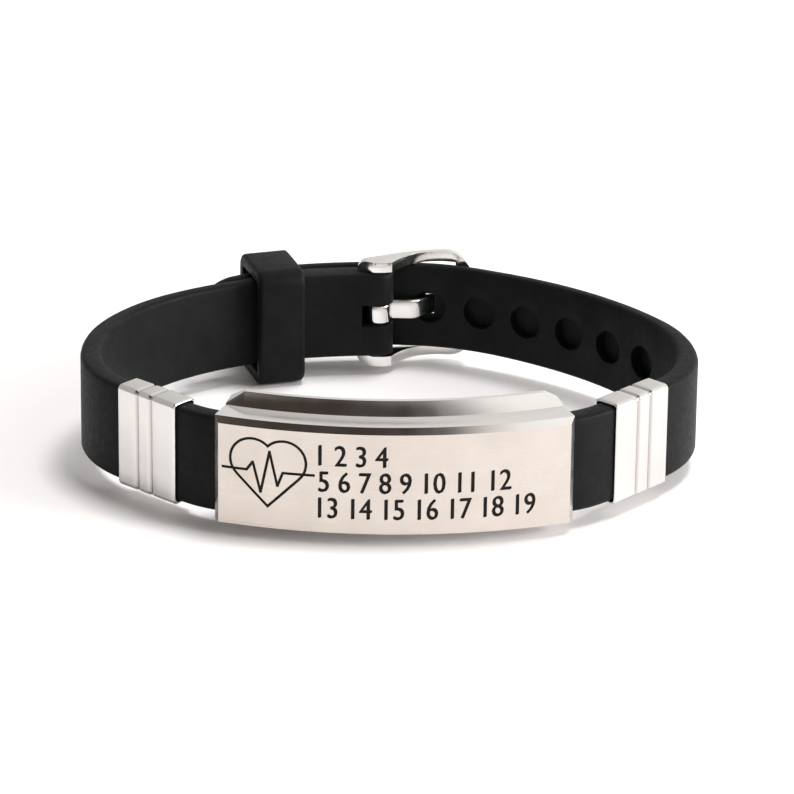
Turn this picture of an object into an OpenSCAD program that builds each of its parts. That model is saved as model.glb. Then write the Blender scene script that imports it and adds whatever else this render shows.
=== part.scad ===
// Medical alert bracelet, closed and resting on its edge, all sizes in mm.
// It is drawn as a ring lying in the XY plane: X to the right, the plate at the
// front (-Y), the buckle at the back, Z across the width of the strap.
// Each strap follows a path along its inner face. The last lines tip the ring
// onto the places it rests on and put the middle of its box over the origin.

/* [Plate] */
// Length of the plate, straight from end to end
plate_length = 40; // [38:0.5:42]
// Radius of the plate's engraved outer face
plate_radius = 55.5; // [53:0.5:58]
// Steel above and below the pocket that takes the strap's end
plate_edge = 0.45; // [0.4:0.05:0.7]
// Thickness of the front block, the part with the engraving
front_thickness = 3.8; // [3.75:0.05:4.2]
// Thickness of the taller plate behind it
back_thickness = 2.1; // [1.9:0.05:2.4]
// Height of that taller plate, from the lower rim to the upper rim
back_height = 15.2; // [14.4:0.1:17]
// How far that plate's upper and lower faces lean back between the block and the rim
rim_lean = 1.2; // [0.8:0.05:1.4]
// Width of the bevel on the face's upper edge and its two ends
bevel = 0.65; // [0.2:0.05:0.8]
// How far each pocket reaches in from the plate's end
pocket_depth = 4; // [3.6:0.1:6]
// Diameter of the two steel pins that hold the strap's ends
plate_pin_d = 1; // [0.8:0.05:1.2]

/* [Strap] */
// Width of the strap next to the plate
strap_width = 11.3; // [10.5:0.1:11.5]
// Width of the strap at the buckle and in the tail
tail_width = 10.4; // [8.8:0.1:10.6]
// Thickness of the strap next to the plate
strap_thickness = 2.55; // [2.3:0.05:2.7]
// Thickness of the tail
tail_thickness = 1.6; // [1.3:0.05:1.8]
// Thickness of the buckle strap between the bend and the keeper
lap_thickness = 1.7; // [1.4:0.05:2]
// Rounding of the strap's long edges
strap_edge_r = 0.6; // [0.3:0.05:0.7]
// Diameter of the adjustment holes
hole_d = 4; // [3.6:0.1:4.2]
// Distance between two adjustment holes
hole_pitch = 6.25; // [5.5:0.05:6.5]
// Rubber that closes the outer end of every hole, except round the tongue
hole_skin = 0.45; // [0.3:0.05:0.6]
// Number of holes between the tongue and the plate
holes_before = 5; // [3:1:5]
// Number of holes between the tongue and the tip
holes_after = 2; // [0:1:2]

/* [Slides and keeper] */
// Length of each steel slide along the strap
slide_length = 8.8; // [6:0.1:9.2]
// Sheet thickness of the slides
slide_wall = 0.3; // [0.25:0.05:0.45]
// Rounding of the slides' long outer edges
slide_edge_r = 0.6; // [0.3:0.05:0.7]
// Width of the rubber keeper along the strap
keeper_length = 5.6; // [4:0.1:6.2]
// Wall of the keeper
keeper_wall = 1.5; // [1:0.1:1.6]
// Room left below the straps in the keeper, which hangs on their upper edges
keeper_play = 0.6; // [0.1:0.05:0.7]

/* [Buckle] */
// Diameter of the buckle's bar
bar_d = 1.4; // [1:0.1:1.5]
// Thickness of the buckle's two arms, across the strap
arm_thickness = 1.2; // [1:0.05:1.6]
// Radius of the rounded corners at the free end of the buckle
frame_corner_r = 3; // [1.5:0.1:3.5]
// Width of the tongue
tongue_width = 2.4; // [1.8:0.1:2.6]
// Thickness of the tongue
tongue_thickness = 0.9; // [0.7:0.05:0.95]

/* [Fits] */
// Gap between a rubber strap and the metal around it
strap_gap = 0.1; // [0.08:0.01:0.2]
// Gap round a steel pin in its hole
pin_gap = 0.05; // [0.03:0.01:0.1]

/* [Hidden] */
$fn = 96;
steel = [0.80, 0.79, 0.77];
black = [0.08, 0.08, 0.085];

// The plate is an arc about a point behind it
plate_front_y = -28.6;
plate_centre_y = plate_radius + plate_front_y;
plate_half_angle = asin(plate_length / 2 / plate_radius);
front_inner_r = plate_radius - front_thickness;
back_inner_r = front_inner_r - back_thickness;
pocket_half_height = strap_width / 2 + strap_gap;
plate_half_height = pocket_half_height + plate_edge;
// The taller plate ends in flat rims, and its back edges have a small bevel
rim_front_r = front_inner_r - rim_lean;
back_bevel = 0.3;
// Its corners are cut at a slant, from just above the block's end
back_end_x = front_inner_r * sin(plate_half_angle);
back_corner = 2.15;
back_corner_z = plate_half_height + 0.15;
// Steel left in front of the pocket
pocket_front = 1.1;
pocket_outer_r = plate_radius - pocket_front;
pocket_angle = pocket_depth / pocket_outer_r * 180 / PI;
strap_start_r = pocket_outer_r - strap_gap - strap_thickness;
pocket_inner_r = strap_start_r - strap_gap;
strap_start_angle = plate_half_angle - pocket_angle + 0.25;
pin_angle = plate_half_angle - pocket_angle / 2 + 0.15;
pin_r = strap_start_r + strap_thickness / 2;
// Each pin ends in a blind hole this deep, so it doesn't show on the plate's edge
pin_seat = plate_edge - 0.2;

// Free runs of each strap from the plate: length along the path, turn in degrees
slide_run = slide_length + 0.6;
hole_side_runs = [[4.5, 25], [slide_run, 0], [8, 37], [12, 38], [12, 17]];
buckle_side_runs = [[4.1, 22], [slide_run, 0], [8.8, 41], [12, 33], [12, 27.5], [12, 21], [13, 16]];

// Thickness and width of the straps: distance from the plate, size
hole_side_thickness = [[0, strap_thickness], [14, strap_thickness], [22, 2.5], [28, 2.1], [34, 1.8], [42, 1.65],
                       [60, tail_thickness]];
buckle_side_thickness = [[0, strap_thickness], [14, strap_thickness], [22, 2.5], [30, 2.3], [40, 1.95],
                         [46, lap_thickness], [52, lap_thickness], [53.5, 1.8], [55, 2.25], [57, 2.95], [58.5, 3.3],
                         [60, 3.4]];
strap_widths = [[0, strap_width], [30, strap_width], [58, tail_width]];

// A path's state is [x, y, heading]. This is the state after one more run
function after_run(p, length, turn) =
    abs(turn) < 0.01
    ? [p[0] + length * cos(p[2]), p[1] + length * sin(p[2]), p[2]]
    : let (r = length / turn * 180 / PI)
      [p[0] + r * (sin(p[2] + turn) - sin(p[2])), p[1] - r * (cos(p[2] + turn) - cos(p[2])), p[2] + turn];

// State at distance s on a list of runs, straight on past the last one
function on_runs(runs, s, p, i = 0) =
    i >= len(runs) ? after_run(p, s, 0)
    : s <= runs[i][0] ? after_run(p, s, runs[i][1] * s / runs[i][0])
    : on_runs(runs, s - runs[i][0], after_run(p, runs[i][0], runs[i][1]), i + 1);

// Points along a list of runs, about ring_step apart on the bends
ring_step = 2;
function run_points(runs, p, i = 0) =
    i >= len(runs) ? [xy(p)]
    : let (n = runs[i][1] == 0 ? 1 : ceil(runs[i][0] / ring_step))
      concat([for (k = [0 : n - 1]) xy(after_run(p, runs[i][0] * k / n, runs[i][1] * k / n))],
             run_points(runs, after_run(p, runs[i][0], runs[i][1]), i + 1));

function total(runs, i = 0) = i >= len(runs) ? 0 : runs[i][0] + total(runs, i + 1);
function xy(p) = [p[0], p[1]];
function ahead(p, heading, length) = [p[0] + length * cos(heading), p[1] + length * sin(heading)];
function outward(p, heading, length) = [p[0] + length * sin(heading), p[1] - length * cos(heading)];

// Smooth curve from a to b that is steered by the handle points c and d
function curve(a, c, d, b, t) =
    pow(1 - t, 3) * a + 3 * pow(1 - t, 2) * t * c + 3 * (1 - t) * t * t * d + pow(t, 3) * b;
// The same, steered by a heading and a handle length at each end
function bend(a, heading_a, b, heading_b, handle, t) =
    curve(a, ahead(a, heading_a, handle), ahead(b, heading_b, -handle), b, t);

// Both paths start in the plate's pockets. The left one is drawn on the right and mirrored
function in_pocket(a) = [strap_start_r * sin(a), plate_centre_y - strap_start_r * cos(a), a];
plate_end = in_pocket(plate_half_angle);
pocket_points = [for (i = [0 : 2])
    xy(in_pocket(strap_start_angle + (plate_half_angle - strap_start_angle) * i / 3))];

// The left strap ends round the buckle's bar
bar_setback = 1.9;
bar_s = total(buckle_side_runs) - bar_setback;
bar_state = on_runs(buckle_side_runs, bar_s, plate_end);
end_thickness = lookup(bar_s, buckle_side_thickness);
bar_mirrored = outward(bar_state, bar_state[2], end_thickness / 2);
bar_at = [-bar_mirrored[0], bar_mirrored[1]];
// The whole closure is placed from the bar and turns with the strap's end
bar_turn = 178.7 - bar_state[2];
function from_bar(p) = [bar_at[0] + p[0] * cos(bar_turn) - p[1] * sin(bar_turn),
                        bar_at[1] + p[0] * sin(bar_turn) + p[1] * cos(bar_turn)];

// The tail lies on the outer face of the left strap, from lap_from to lap_to
lap_gap = 0.15;
lap_from = 66.9;
lap_to = 53;
function lap_point(s) =
    let (p = on_runs(buckle_side_runs, s, plate_end),
         q = outward(p, p[2], lookup(s, buckle_side_thickness) + lap_gap))
    [-q[0], q[1]];
lap_step = lap_point(lap_from - 0.5) - lap_point(lap_from);
lap_heading = atan2(lap_step[1], lap_step[0]) + 360;

// The tip of the tail is a half circle, with rings ever closer together
tip_r = tail_width / 2;
tip_points = [for (a = [15, 35, 50, 62, 72, 80, 86]) lap_point(lap_to - 0.94 * tip_r * sin(a))];

// The right strap bridges from its free run to the buckle, then curves through it
buckle_in = from_bar([11.5, -0.2]);
buckle_in_heading = 155.5 + bar_turn;
free_end = on_runs(hole_side_runs, total(hole_side_runs), plate_end);
bridge_handle = norm(buckle_in - xy(free_end)) / 3;
hole_side_path = concat(
    pocket_points,
    run_points(hole_side_runs, plate_end),
    [for (i = [1 : 7]) bend(xy(free_end), free_end[2], buckle_in, buckle_in_heading, bridge_handle, i / 8)],
    [for (i = [0 : 9]) bend(buckle_in, buckle_in_heading, lap_point(lap_from), lap_heading, 5, i / 10)],
    [for (i = [0 : 10]) lap_point(lap_from + (lap_to - lap_from) * i / 10)],
    tip_points);
// The left strap's path reaches the bar
trimmed_runs = [for (i = [0 : len(buckle_side_runs) - 1])
    i < len(buckle_side_runs) - 1 ? buckle_side_runs[i]
    : [buckle_side_runs[i][0] - bar_setback,
       buckle_side_runs[i][1] * (1 - bar_setback / buckle_side_runs[i][0])]];
// and goes round it in a half circle of the strap's own thickness
buckle_side_path = concat(
    pocket_points,
    run_points(trimmed_runs, plate_end),
    [for (a = [20, 40, 55, 68, 78, 85]) ahead(bar_state, bar_state[2], end_thickness / 2 * sin(a))]);

// Distance from the plate to each point of a path
function distances(path, i = 0, so_far = 0) =
    i + 1 >= len(path) ? [so_far]
    : concat([so_far], distances(path, i + 1, so_far + norm(path[i + 1] - path[i])));
function from_plate(path) =
    let (d = distances(path))
    [for (v = d) v - d[len(pocket_points)]];
hole_side_s = from_plate(hole_side_path);
buckle_side_s = from_plate(buckle_side_path);
tip_s = hole_side_s[len(hole_side_path) - 1 - len(tip_points)];
// The tongue passes through the strap near the middle of the curve in the buckle
tongue_s = hole_side_s[len(hole_side_path) - len(tip_points) - 17];

// Heading of a path at one of its points, and point and heading at a distance
function direction(v) = let (h = atan2(v[1], v[0])) h < -90 ? h + 360 : h;
function heading_at(path, i) = direction(path[min(i + 1, len(path) - 1)] - path[max(i - 1, 0)]);
function piece_at(list, s, i = 0) = i + 2 >= len(list) || list[i + 1] > s ? i : piece_at(list, s, i + 1);
function state_at(path, list, s) =
    let (i = piece_at(list, s), step = path[i + 1] - path[i],
         p = path[i] + step * (s - list[i]) / (list[i + 1] - list[i]))
    [p[0], p[1], direction(step)];

// Rounded section of a strap: outward from the inner face, and across in Z
function section(t, half, r) = [
    for (c = [0 : 3], k = [0 : 3])
        let (a = 90 * c + 30 * k,
             o = c == 0 || c == 3 ? t - r : r,
             z = c < 2 ? half - r : r - half)
        [o + r * cos(a), z + r * sin(a)]];

// Solid that carries the section along a path. Past tip_at its outline is round,
// and past loop_at its thickness is
module strap_body(path, s, thickness, tip_at = 1000, loop_at = 1000) {
    rings = [for (i = [0 : len(path) - 1])
        let (h = heading_at(path, i),
             full = lookup(s[i], thickness),
             looped = max(0, s[i] - loop_at),
             t = looped > 0 ? 2 * sqrt(full * full / 4 - looped * looped) : full,
             inner = (full - t) / 2,
             r = min(strap_edge_r, t / 2 - 0.1 * t / full),
             past = min(max(0, s[i] - tip_at), 0.998 * tip_r),
             half = min(lookup(s[i], strap_widths) / 2, past > 0 ? sqrt(tip_r * tip_r - past * past) : 100))
        [for (q = section(t, max(half, r + 0.05), r))
            [path[i][0] + (inner + q[0]) * sin(h), path[i][1] - (inner + q[0]) * cos(h), q[1]]]];
    n = len(rings[0]);
    m = len(rings);
    sides = [for (i = [0 : m - 2], j = [0 : n - 1], k = [0 : 1])
        let (a = i * n + j, b = i * n + (j + 1) % n)
        k == 0 ? [a, b + n, b] : [a, a + n, b + n]];
    caps = [for (j = [1 : n - 2], k = [0, 1])
        k == 0 ? [0, j, j + 1] : [(m - 1) * n, (m - 1) * n + j + 1, (m - 1) * n + j]];
    polyhedron(points = [for (ring = rings, p = ring) p], faces = concat(sides, caps), convexity = 10);
}

// Puts a shape at a path's state: X along the path, -Y outward
module at_state(p) {
    translate([p[0], p[1], 0])
        rotate([0, 0, p[2]])
            children();
}

module at_bar() {
    translate([bar_at[0], bar_at[1], 0])
        rotate([0, 0, bar_turn])
            children();
}

module rod(d, half_length) {
    translate([0, 0, -half_length])
        cylinder(d = d, h = 2 * half_length);
}

module round_rect(size, r) {
    square([size[0] - 2 * r, size[1]], center = true);
    square([size[0], size[1] - 2 * r], center = true);
    for (x = [-1, 1], y = [-1, 1])
        translate([x * (size[0] / 2 - r), y * (size[1] / 2 - r)])
            circle(r = r);
}

// Band of the plate's arc from angle a1 to a2, with its section drawn as [radius, z]
module plate_arc(a1, a2) {
    translate([0, plate_centre_y, 0])
        rotate([0, 0, a1 - 90])
            rotate_extrude(angle = a2 - a1)
                children();
}

module at_plate_pin() {
    translate([pin_r * sin(pin_angle), plate_centre_y - pin_r * cos(pin_angle), 0])
        children();
}

// The block with the engraved face, bevelled along the top and the ends of that face
module front_block() {
    difference() {
        plate_arc(-plate_half_angle, plate_half_angle)
            polygon([[front_inner_r - 0.2, -plate_half_height],
                     [plate_radius, -plate_half_height],
                     [plate_radius, plate_half_height - bevel],
                     [plate_radius - bevel, plate_half_height],
                     [front_inner_r - 0.2, plate_half_height]]);
        for (side = [0, 1])
            mirror([side, 0, 0])
                translate([0, plate_centre_y, 0])
                    rotate([0, 0, plate_half_angle])
                        translate([-bevel, -plate_radius, 0])
                            rotate([0, 0, 45])
                                translate([-5, -10, -20])
                                    cube([20, 10, 40]);
    }
}

// The taller plate behind it, which leans back above and below the block
module back_plate() {
    slant = (back_height / 2 - back_corner_z) / back_corner;
    lean = rim_lean / (back_height / 2 - plate_half_height);
    // The leaning faces start a little inside the block
    sunk = 0.4;
    upper = [[front_inner_r + lean * sunk, plate_half_height - sunk],
             [rim_front_r, back_height / 2],
             [back_inner_r + back_bevel, back_height / 2],
             [back_inner_r, back_height / 2 - back_bevel]];
    intersection() {
        plate_arc(-plate_half_angle, plate_half_angle)
            polygon(concat(upper, [for (i = [len(upper) - 1 : -1 : 0]) [upper[i][0], -upper[i][1]]]));
        rotate([90, 0, 0])
            linear_extrude(height = 100, center = true)
                for (x = [0, 1], z = [0, 1])
                    mirror([x, 0])
                        mirror([0, z])
                            polygon([[-1, -1], [back_end_x + 1, -1], [back_end_x + 1, back_corner_z - slant],
                                     [back_end_x - back_corner, back_height / 2 + 0.01],
                                     [-1, back_height / 2 + 0.01]]);
    }
}

module id_plate() {
    color(steel)
        difference() {
            union() {
                front_block();
                back_plate();
            }
            for (side = [0, 1])
                mirror([side, 0, 0]) {
                    plate_arc(plate_half_angle - pocket_angle, plate_half_angle + 3)
                        translate([pocket_inner_r, -pocket_half_height])
                            square([pocket_outer_r - pocket_inner_r, 2 * pocket_half_height]);
                    at_plate_pin()
                        rod(plate_pin_d + 2 * pin_gap, pocket_half_height + pin_seat);
                }
        }
}

module plate_pin() {
    color(steel)
        at_plate_pin()
            rod(plate_pin_d, pocket_half_height + pin_seat - pin_gap);
}

module plate_pin_right() {
    plate_pin();
}

module plate_pin_left() {
    mirror([1, 0, 0])
        plate_pin();
}

// Hole for a plate pin in the end of a strap
module plate_pin_bore() {
    at_plate_pin()
        rod(plate_pin_d + 4 * pin_gap, 20);
}

module strap_hole_side() {
    color(black)
        difference() {
            strap_body(hole_side_path, hole_side_s, hole_side_thickness, tip_s);
            plate_pin_bore();
            for (k = [-holes_after : holes_before]) {
                hole_s = tongue_s - k * hole_pitch;
                at_state(state_at(hole_side_path, hole_side_s, hole_s))
                    translate([0, 1, 0])
                        rotate([90, 0, 0])
                            cylinder(d = hole_d, h = 1 + lookup(hole_s, hole_side_thickness) - hole_skin);
            }
            at_bar()
                tongue_run(1, 0.1);
        }
}

// Room that the tongue's ring needs in the end of the strap
slot_half = tongue_width / 2 + 0.15;
slot_length = 3.8;

module strap_buckle_side() {
    color(black)
        difference() {
            mirror([1, 0, 0])
                difference() {
                    strap_body(buckle_side_path, buckle_side_s, buckle_side_thickness,
                               loop_at = buckle_side_s[len(buckle_side_path) - 7]);
                    plate_pin_bore();
                }
            at_bar() {
                rod(bar_d + 4 * pin_gap, 20);
                translate([end_thickness / 2 + 0.1 - slot_length, -5, -slot_half])
                    cube([slot_length, 10, 2 * slot_half]);
            }
        }
}

// Steel sleeve pushed onto the strap, with two pressed grooves between its bands
module slide() {
    inner = [strap_thickness + 2 * strap_gap, strap_width + 2 * strap_gap];
    outer = [inner[0] + 2 * slide_wall, inner[1] + 2 * slide_wall];
    bands = [0.42, 0.66];
    groove = 0.45;
    groove_depth = 0.1;
    color(steel)
        translate([0.3, -strap_thickness / 2, 0])
            rotate([90, 0, 90])
                difference() {
                    linear_extrude(height = slide_length)
                        round_rect(outer, slide_edge_r);
                    translate([0, 0, -1])
                        linear_extrude(height = slide_length + 2)
                            round_rect(inner, 0.3);
                    for (b = bands)
                        translate([0, 0, b * slide_length - groove / 2])
                            linear_extrude(height = groove)
                                difference() {
                                    square(outer + [2, 2], center = true);
                                    round_rect(outer - [2, 2] * groove_depth, slide_edge_r - groove_depth);
                                }
                }
}

module slide_right() {
    at_state(on_runs(hole_side_runs, hole_side_runs[0][0], plate_end))
        slide();
}

module slide_left() {
    mirror([1, 0, 0])
        at_state(on_runs(buckle_side_runs, buckle_side_runs[0][0], plate_end))
            slide();
}

// Loop round the tail and the strap under it
keeper_s = 57.2;
keeper_state = on_runs(buckle_side_runs, keeper_s, plate_end);
keeper_room = [6.3, tail_width + 0.3 + keeper_play];
keeper_out = 2.25;
keeper_half = keeper_room[1] / 2 + keeper_wall;
keeper_low = keeper_half + keeper_play / 2;
keeper_depth = keeper_room[0] + 2 * keeper_wall;

module keeper() {
    color(black)
        mirror([1, 0, 0])
            at_state(keeper_state)
                translate([-keeper_length / 2, -keeper_out, -keeper_play / 2])
                    rotate([90, 0, 90])
                        linear_extrude(height = keeper_length)
                            difference() {
                                round_rect([keeper_depth, 2 * keeper_half], 1);
                                square(keeper_room, center = true);
                            }
}

// Buckle, drawn from the bar: X towards the free end, Y away from the wrist
frame_gap = 0.15;
window_half = tail_width / 2 + frame_gap;
frame_half = window_half + arm_thickness;
frame_start = -2.6;
frame_end = 11.1;
crossbar_start = 9.1;
knuckle_r = 1.25;
bar_seat = arm_thickness - 0.2;

// Side view of an arm, with the knuckle round the bar
module arm_side() {
    steps = 16;
    top = [for (i = [0 : steps]) curve([frame_start, 0.3], [0.5, 1.3], [6.6, 5.6], [frame_end, 3], i / steps)];
    under = [for (i = [0 : steps]) curve([10.9, 1.7], [6.4, 4.4], [3, 2], [1.5, -1], i / steps)];
    polygon(concat(top, under, [[0.6, -knuckle_r], [-0.6, -knuckle_r], [-1.4, -0.8], [frame_start, 0]]));
    circle(r = knuckle_r);
}

// Room for the strap under the crossbar
module strap_room() {
    first = len(pocket_points) + 25;
    last = len(hole_side_path) - len(tip_points) - 12;
    rotate(-bar_turn)
        translate(-bar_at)
            polygon(concat(
                [for (i = [first : last])
                    outward(hole_side_path[i], heading_at(hole_side_path, i),
                            lookup(hole_side_s[i], hole_side_thickness) + 0.08)],
                [for (i = [last : -1 : first])
                    outward(hole_side_path[i], heading_at(hole_side_path, i), -4)]));
}

module buckle_frame() {
    color(steel)
        at_bar()
            difference() {
                intersection() {
                    union() {
                        for (side = [0, 1])
                            mirror([0, 0, side])
                                translate([0, 0, window_half])
                                    linear_extrude(height = arm_thickness)
                                        arm_side();
                        translate([0, 0, -frame_half])
                            linear_extrude(height = 2 * frame_half)
                                difference() {
                                    intersection() {
                                        arm_side();
                                        translate([crossbar_start, -5])
                                            square([5, 15]);
                                    }
                                    strap_room();
                                }
                    }
                    rotate([90, 0, 0])
                        linear_extrude(height = 30, center = true)
                            frame_outline();
                }
                rod(bar_d + 2 * pin_gap, window_half + bar_seat);
            }
}

// The buckle seen from outside, with its rounded corners
module frame_outline() {
    left_r = 1.2;
    translate([frame_start, -frame_half + left_r])
        square([5, 2 * (frame_half - left_r)]);
    translate([frame_start + left_r, -frame_half])
        square([frame_end - frame_corner_r - frame_start - left_r, 2 * frame_half]);
    translate([0, -frame_half + frame_corner_r])
        square([frame_end, 2 * (frame_half - frame_corner_r)]);
    for (side = [-1, 1]) {
        translate([frame_end - frame_corner_r, side * (frame_half - frame_corner_r)])
            circle(r = frame_corner_r);
        translate([frame_start + left_r, side * (frame_half - left_r)])
            circle(r = left_r);
    }
}

module buckle_bar() {
    color(steel)
        at_bar()
            rod(bar_d, window_half + bar_seat - pin_gap);
}

// Middle line of the tongue from the ring on the bar to its tip
tongue_line = [[0, 1], [4.2, 0.98], [7.3, 4], [11.2, 4.75]];

// One straight run of the tongue, fuller by grow on every side
module tongue_run(i, grow = 0) {
    a = tongue_line[i];
    b = tongue_line[i + 1];
    thickness = tongue_thickness + 2 * grow;
    translate([a[0], a[1], 0])
        rotate([0, 0, atan2(b[1] - a[1], b[0] - a[0])]) {
            translate([0, -thickness / 2, -tongue_width / 2 - grow])
                cube([norm(b - a), thickness, tongue_width + 2 * grow]);
            translate([norm(b - a), 0, 0])
                rod(thickness, tongue_width / 2 + grow);
        }
}

module buckle_tongue() {
    color(steel)
        at_bar()
            difference() {
                union() {
                    rod(2 + tongue_thickness, tongue_width / 2);
                    for (i = [0 : len(tongue_line) - 2])
                        tongue_run(i);
                }
                rod(bar_d + 4 * pin_gap, 20);
            }
}

// The ring rests on the lower rim of the plate in front, and behind on the keeper or the buckle
rim_x = back_end_x - back_corner;
rim_y = plate_centre_y - sqrt(pow(back_inner_r + back_bevel, 2) - pow(rim_x, 2));
keeper_rear = keeper_state[1] + keeper_length / 2 * sin(keeper_state[2])
              - (keeper_out + keeper_depth / 2 - 0.3) * cos(keeper_state[2]);
frame_rear = from_bar([6.5, 3.4])[1];
rest_tilt = min(atan((back_height / 2 - keeper_low) / (keeper_rear - rim_y)),
                atan((back_height / 2 - frame_half) / (frame_rear - rim_y)));
lift = back_height / 2 * cos(rest_tilt) + rim_y * sin(rest_tilt);

// Half the difference of the two sides' reach puts the middle over the origin
function reach(path, s, thickness) =
    max([for (i = [0 : len(path) - 1]) outward(path[i], heading_at(path, i), lookup(s[i], thickness))[0]]);
shift_x = (reach(buckle_side_path, buckle_side_s, buckle_side_thickness)
           - reach(hole_side_path, hole_side_s, hole_side_thickness)) / 2;
tongue_rear = from_bar(tongue_line[3])[1] + tongue_thickness / 2;
shift_y = -(tongue_rear + plate_front_y) / 2 * cos(rest_tilt)
          + (plate_half_height - tongue_width / 2) / 2 * sin(rest_tilt);

module placed() {
    translate([shift_x, shift_y, lift])
        rotate([-rest_tilt, 0, 0])
            children();
}

placed() id_plate();
placed() strap_buckle_side();
placed() strap_hole_side();
placed() slide_left();
placed() slide_right();
placed() keeper();
placed() buckle_frame();
placed() buckle_bar();
placed() buckle_tongue();
placed() plate_pin_left();
placed() plate_pin_right();
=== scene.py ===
"""Looks of a medical alert bracelet that stands closed on its edge: a curved steel
plate with engraving, two rubber straps, steel slides, a keeper and a pin buckle.

All sizes are in millimetres in the ring's own frame, as in the part's source, and
place() takes them to the row's frame in metres. In the ring's frame X runs to the
right, the plate is at the front (-Y) and Z runs across the width of the strap.
"""
import bisect
import math
from contextlib import contextmanager

import bmesh
import bpy
import numpy as np
from mathutils import Matrix, Vector


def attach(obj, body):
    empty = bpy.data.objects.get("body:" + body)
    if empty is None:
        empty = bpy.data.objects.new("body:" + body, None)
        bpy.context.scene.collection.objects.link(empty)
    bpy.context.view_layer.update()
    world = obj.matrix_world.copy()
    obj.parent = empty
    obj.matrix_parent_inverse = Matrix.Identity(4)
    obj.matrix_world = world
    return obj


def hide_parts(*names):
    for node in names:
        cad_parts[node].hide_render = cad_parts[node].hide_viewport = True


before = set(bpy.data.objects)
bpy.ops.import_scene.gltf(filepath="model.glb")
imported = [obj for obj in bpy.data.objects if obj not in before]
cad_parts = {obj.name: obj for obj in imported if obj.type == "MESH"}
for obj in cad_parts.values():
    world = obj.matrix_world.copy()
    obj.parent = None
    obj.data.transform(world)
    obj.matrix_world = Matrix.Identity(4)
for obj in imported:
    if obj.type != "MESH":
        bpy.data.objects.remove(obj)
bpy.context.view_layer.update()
MM = 0.001

# How the ring stands: leaning back onto its keeper, with its box over the origin
REST_TILT = math.radians(-0.1805)
RING_AT = Vector((0.2925, -0.0995, 7.5363))
STAND = Matrix.Translation(RING_AT * MM) @ Matrix.Rotation(REST_TILT, 4, "X") @ Matrix.Scale(MM, 4)


def place(point):
    """A point of the ring in the row's frame."""
    return STAND @ Vector(point)


# Sizes of the plate
PLATE_LENGTH = 40
PLATE_R = 55.5
PLATE_FRONT_Y = -28.6
PLATE_EDGE = 0.45
FRONT_THICKNESS = 3.8
BACK_THICKNESS = 2.1
BACK_HEIGHT = 15.2
BACK_CORNER = 2.15
BACK_BEVEL = 0.3
RIM_LEAN = 1.2
FACE_BEVEL = 0.65
POCKET_DEPTH = 4
POCKET_FRONT = 1.1
PLATE_PIN_D = 1

# Sizes of the straps
STRAP_WIDTH = 11.3
TAIL_WIDTH = 10.4
STRAP_THICKNESS = 2.55
TAIL_THICKNESS = 1.6
LAP_THICKNESS = 1.7
STRAP_EDGE_R = 0.6
HOLE_D = 4.0
HOLE_PITCH = 6.25
HOLE_SKIN = 0.45
# Holes between the tongue and the plate, and between the tongue and the tip
HOLES_BEFORE = 5
HOLES_AFTER = 2
# Length of the punch that makes a hole
HOLE_PUNCH = 8.0

# Sizes of the slides and the keeper
SLIDE_LENGTH = 8.8
SLIDE_WALL = 0.3
SLIDE_CORNER_R = 0.3
SLIDE_END_GAP = 0.3
SLIDE_BANDS = (0.42, 0.66)
GROOVE_DEPTH = 0.18
KEEPER_S = 57.2
KEEPER_LENGTH = 5.6
KEEPER_WALL = 1.5
KEEPER_OUT = 2.25
KEEPER_PLAY = 0.6
KEEPER_ROOM = (6.3, TAIL_WIDTH + 0.3 + KEEPER_PLAY)
KEEPER_CORNER_R = 0.35

# Sizes of the buckle. The tongue's line starts on the ring round the bar
BAR_D = 1.4
TONGUE_LINE = [(0, 1), (4.2, 0.98), (7.3, 4), (11.2, 4.75)]
TONGUE_THICKNESS = 0.9
TONGUE_WIDTH = 2.4
TONGUE_RING_TURN = 305
TONGUE_BEND = 0.7
TONGUE_CORNER_R = 0.3
TONGUE_SLOT_LENGTH = 3.8
TONGUE_SLOT_HALF = TONGUE_WIDTH / 2 + 0.15

# Gaps between rubber and steel, and round a pin
STRAP_GAP = 0.1
PIN_GAP = 0.05

# How far the edges are rounded that the sections leave sharp
PLATE_EDGE_R = 0.1
HOLE_EDGE_R = 0.16
SLOT_EDGE_R = 0.1
FRAME_EDGE_R = 0.22
TONGUE_EDGE_R = 0.2

# What follows from the plate's sizes
PLATE_CENTRE_Y = PLATE_R + PLATE_FRONT_Y
PLATE_HALF_ANGLE = math.degrees(math.asin(PLATE_LENGTH / 2 / PLATE_R))
POCKET_OUTER_R = PLATE_R - POCKET_FRONT
POCKET_ANGLE = math.degrees(POCKET_DEPTH / POCKET_OUTER_R)
POCKET_HALF_HEIGHT = STRAP_WIDTH / 2 + STRAP_GAP
STRAP_START_R = POCKET_OUTER_R - STRAP_GAP - STRAP_THICKNESS
STRAP_START_ANGLE = PLATE_HALF_ANGLE - POCKET_ANGLE + 0.25
POCKET_INNER_R = STRAP_START_R - STRAP_GAP
PLATE_PIN_ANGLE = PLATE_HALF_ANGLE - POCKET_ANGLE / 2 + 0.15
PLATE_PIN_R = STRAP_START_R + STRAP_THICKNESS / 2
PLATE_PIN_REACH = POCKET_HALF_HEIGHT + PLATE_EDGE - 0.2

# Strap routes

# Length along the strap's inner face and turn in degrees
SLIDE_RUN = SLIDE_LENGTH + 2 * SLIDE_END_GAP
HOLE_SIDE_RUNS = [(4.5, 25), (SLIDE_RUN, 0), (8, 37), (12, 38), (12, 17)]
BUCKLE_SIDE_RUNS = [(4.1, 22), (SLIDE_RUN, 0), (8.8, 41), (12, 33), (12, 27.5), (12, 21), (13, 16)]
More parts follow.
